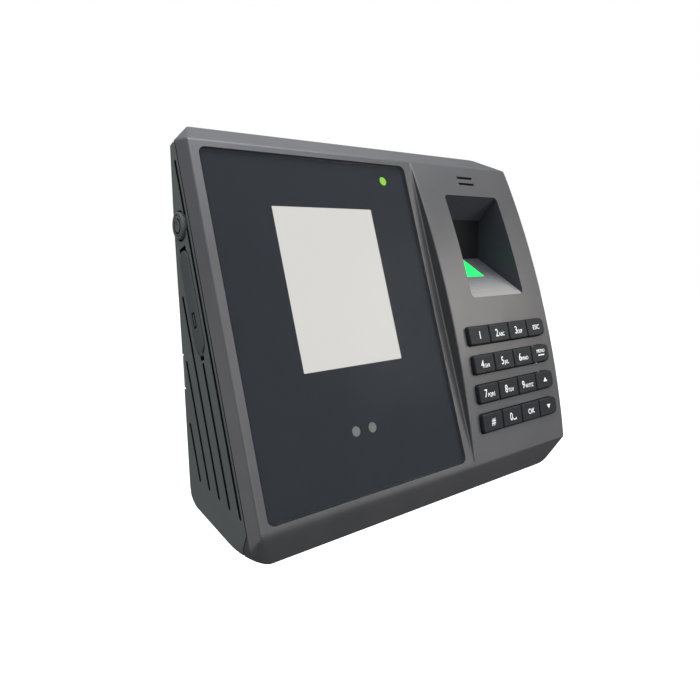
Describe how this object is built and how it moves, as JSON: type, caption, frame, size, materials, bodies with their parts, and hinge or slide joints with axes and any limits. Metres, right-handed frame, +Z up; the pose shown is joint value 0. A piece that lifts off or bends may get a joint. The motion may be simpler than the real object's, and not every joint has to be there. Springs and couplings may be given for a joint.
{
  "type": "fingerprint scanner terminal",
  "caption": "Wedge-shaped wall terminal with a glass display, a finger pocket with a lit sensor prism, and a rubber keypad on a bulged side.",
  "frame": {"origin": "on the wall, at the centre of the wall plate's four screw holes", "axes": "+X to the right as seen from the front, +Y into the wall, +Z up"},
  "size_m": [0.1596, 0.0472, 0.1323],
  "materials": {
    "front_shell": "satin metallic paint",
    "rear_shell": "fine matte moulded grain",
    "glass": "polished",
    "mask": "printed film",
    "display": "lit display panel",
    "metal": "stamped and plated",
    "zinc_steel": "zinc plated sheet",
    "screw_steel": "plated screws",
    "light_green": "clear tinted, lit",
    "prism": "polished optical plastic, lit green",
    "window_grey": "smoked window",
    "dark_plastic": "fine texture",
    "black_plastic": "moulded",
    "board_green": "solder mask on fibreglass",
    "flex": "flat flexible cable",
    "silicone_grey": "matte silicone sheet",
    "key_rubber": "matte silicone",
    "cover_rubber": "matte flexible",
    "button": "moulded",
    "mesh_cloth": "woven mesh",
    "terminal_green": "moulded",
    "plunger_red": "moulded"
  },
  "bodies": {
    "terminal": {"front_housing": "front_shell", "rear_housing": "rear_shell", "front_glass": "glass", "glass_mask": "mask", "lcd_panel": "display", "lcd_frame": "metal", "light_pipe": "light_green", "sensor_windows": "window_grey", "proximity_sensors": "black_plastic", "indicator_board": "board_green", "card_antenna": "board_green", "finger_guide": "dark_plastic", "sensor_prism": "prism", "sensor_lens": "black_plastic", "sensor_board": "board_green", "sensor_ribbon": "flex", "keypad_membrane": "silicone_grey", "keypad_board": "board_green", "keypad_screws": "screw_steel", "keypad_ribbon": "flex", "speaker": "black_plastic", "speaker_mesh": "mesh_cloth", "main_board": "board_green", "board_screws": "screw_steel", "display_ribbon": "flex", "coin_cell": "metal", "power_switch": "black_plastic", "usb_port": "metal", "interface_board": "board_green", "network_jack": "metal", "terminal_block": "terminal_green", "power_jack": "black_plastic", "tamper_switch": "black_plastic", "wall_plate": "zinc_steel", "housing_screws": "screw_steel", "locking_screw": "screw_steel"},
    "key_1": {"key_1": "key_rubber"},
    "key_2": {"key_2": "key_rubber"},
    "key_3": {"key_3": "key_rubber"},
    "key_esc": {"key_esc": "key_rubber"},
    "key_4": {"key_4": "key_rubber"},
    "key_5": {"key_5": "key_rubber"},
    "key_6": {"key_6": "key_rubber"},
    "key_menu": {"key_menu": "key_rubber"},
    "key_7": {"key_7": "key_rubber"},
    "key_8": {"key_8": "key_rubber"},
    "key_9": {"key_9": "key_rubber"},
    "key_up": {"key_up": "key_rubber"},
    "key_hash": {"key_hash": "key_rubber"},
    "key_0": {"key_0": "key_rubber"},
    "key_ok": {"key_ok": "key_rubber"},
    "key_down": {"key_down": "key_rubber"},
    "power_button": {"power_button": "button"},
    "usb_cover": {"usb_cover": "cover_rubber"},
    "tamper_plunger": {"tamper_plunger": "plunger_red"}
  },
  "joints": [
    {"name": "key_1_press", "type": "slide", "parent": "terminal", "child": "key_1", "axis": [0, 0.9511, -0.309], "range_m": [0, 0.001], "stiffness_N_per_m": 900},
    {"name": "key_2_press", "type": "slide", "parent": "terminal", "child": "key_2", "axis": [0, 0.9511, -0.309], "range_m": [0, 0.001], "stiffness_N_per_m": 900},
    {"name": "key_3_press", "type": "slide", "parent": "terminal", "child": "key_3", "axis": [0, 0.9511, -0.309], "range_m": [0, 0.001], "stiffness_N_per_m": 900},
    {"name": "key_esc_press", "type": "slide", "parent": "terminal", "child": "key_esc", "axis": [0, 0.9511, -0.309], "range_m": [0, 0.001], "stiffness_N_per_m": 900},
    {"name": "key_4_press", "type": "slide", "parent": "terminal", "child": "key_4", "axis": [0, 0.9511, -0.309], "range_m": [0, 0.001], "stiffness_N_per_m": 900},
    {"name": "key_5_press", "type": "slide", "parent": "terminal", "child": "key_5", "axis": [0, 0.9511, -0.309], "range_m": [0, 0.001], "stiffness_N_per_m": 900},
    {"name": "key_6_press", "type": "slide", "parent": "terminal", "child": "key_6", "axis": [0, 0.9511, -0.309], "range_m": [0, 0.001], "stiffness_N_per_m": 900},
    {"name": "key_menu_press", "type": "slide", "parent": "terminal", "child": "key_menu", "axis": [0, 0.9511, -0.309], "range_m": [0, 0.001], "stiffness_N_per_m": 900},
    {"name": "key_7_press", "type": "slide", "parent": "terminal", "child": "key_7", "axis": [0, 0.9511, -0.309], "range_m": [0, 0.001], "stiffness_N_per_m": 900},
    {"name": "key_8_press", "type": "slide", "parent": "terminal", "child": "key_8", "axis": [0, 0.9511, -0.309], "range_m": [0, 0.001], "stiffness_N_per_m": 900},
    {"name": "key_9_press", "type": "slide", "parent": "terminal", "child": "key_9", "axis": [0, 0.9511, -0.309], "range_m": [0, 0.001], "stiffness_N_per_m": 900},
    {"name": "key_up_press", "type": "slide", "parent": "terminal", "child": "key_up", "axis": [0, 0.9511, -0.309], "range_m": [0, 0.001], "stiffness_N_per_m": 900},
    {"name": "key_hash_press", "type": "slide", "parent": "terminal", "child": "key_hash", "axis": [0, 0.9511, -0.309], "range_m": [0, 0.001], "stiffness_N_per_m": 900},
    {"name": "key_0_press", "type": "slide", "parent": "terminal", "child": "key_0", "axis": [0, 0.9511, -0.309], "range_m": [0, 0.001], "stiffness_N_per_m": 900},
    {"name": "key_ok_press", "type": "slide", "parent": "terminal", "child": "key_ok", "axis": [0, 0.9511, -0.309], "range_m": [0, 0.001], "stiffness_N_per_m": 900},
    {"name": "key_down_press", "type": "slide", "parent": "terminal", "child": "key_down", "axis": [0, 0.9511, -0.309], "range_m": [0, 0.001], "stiffness_N_per_m": 900},
    {"name": "power_button_press", "type": "slide", "parent": "terminal", "child": "power_button", "axis": [1, 0, 0], "range_m": [0, 0.0008], "stiffness_N_per_m": 900},
    {"name": "usb_cover_swing", "type": "hinge", "parent": "terminal", "child": "usb_cover", "pos_m": [-0.0797, -0.00611, 0.02433], "axis": [0, 0.9511, -0.309], "range_deg": [0, 110]},
    {"name": "tamper_plunger_press", "type": "slide", "parent": "terminal", "child": "tamper_plunger", "axis": [0, -1, 0], "range_m": [0, 0.0012], "stiffness_N_per_m": 300}
  ]
}
